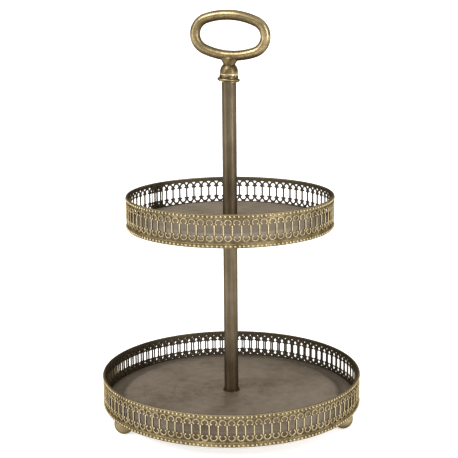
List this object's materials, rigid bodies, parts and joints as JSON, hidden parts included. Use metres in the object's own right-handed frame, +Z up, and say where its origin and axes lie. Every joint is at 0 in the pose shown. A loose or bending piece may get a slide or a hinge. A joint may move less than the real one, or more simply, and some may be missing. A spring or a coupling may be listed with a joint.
{
  "type": "tiered cake stand",
  "caption": "Round serving trays with pierced gallery rims stacked on a tube post, with ball feet and a cast loop handle that unscrews.",
  "frame": {"origin": "on the ground, under the centre of the post, at the bottom centre of the bounding box", "axes": "+Z up along the post; -Y towards the front, between the two front feet; +X to the right seen from the front"},
  "size_m": [0.3302, 0.3302, 0.5157],
  "materials": {
    "gallery_brass": "stamped strip, antiqued: dark in the hollows and worn bright on the relief",
    "cast_brass": "antiqued casting, satin, brighter on the worn high spots",
    "foot_brass": "antiqued turned ball, satin",
    "bronzed_sheet": "sheet steel with a satin brown bronze finish",
    "bronzed_tube": "steel tube with a satin brown bronze finish",
    "zinc_steel": "dull zinc plate"
  },
  "bodies": {
    "stand": {"upper_tube": "bronzed_tube", "upper_tube_top_plug": "zinc_steel", "upper_tube_base_plug": "zinc_steel", "upper_rim": "gallery_brass", "upper_gallery": "gallery_brass", "upper_gallery_lap": "gallery_brass", "upper_plate": "bronzed_sheet", "joining_stud": "zinc_steel", "lower_tube": "bronzed_tube", "lower_tube_top_plug": "zinc_steel", "lower_tube_base_plug": "zinc_steel", "base_collar": "bronzed_tube", "lower_rim": "gallery_brass", "lower_gallery": "gallery_brass", "lower_gallery_lap": "gallery_brass", "lower_plate": "bronzed_sheet", "backing_disc": "bronzed_sheet", "base_washer": "zinc_steel", "base_bolt": "zinc_steel", "foot_left": "foot_brass", "foot_right": "foot_brass", "foot_back": "foot_brass", "foot_screw_left": "zinc_steel", "foot_screw_right": "zinc_steel", "foot_screw_back": "zinc_steel"},
    "ferrule": {"handle_ferrule": "cast_brass"},
    "handle": {"handle": "cast_brass", "handle_stud": "zinc_steel"}
  },
  "joints": [
    {"name": "handle_rise", "type": "slide", "parent": "stand", "child": "ferrule", "axis": [0, 0, 1], "range_m": [0, 0.0101]},
    {"name": "handle_turn", "type": "hinge", "parent": "ferrule", "child": "handle", "pos_m": [0, 0, 0.4375], "axis": [0, 0, 1], "range_deg": [0, 2880]}
  ],
  "couplings": [
    {"joint": "handle_rise", "follows": "handle_turn", "m_per_rad": 0.00019894}
  ]
}
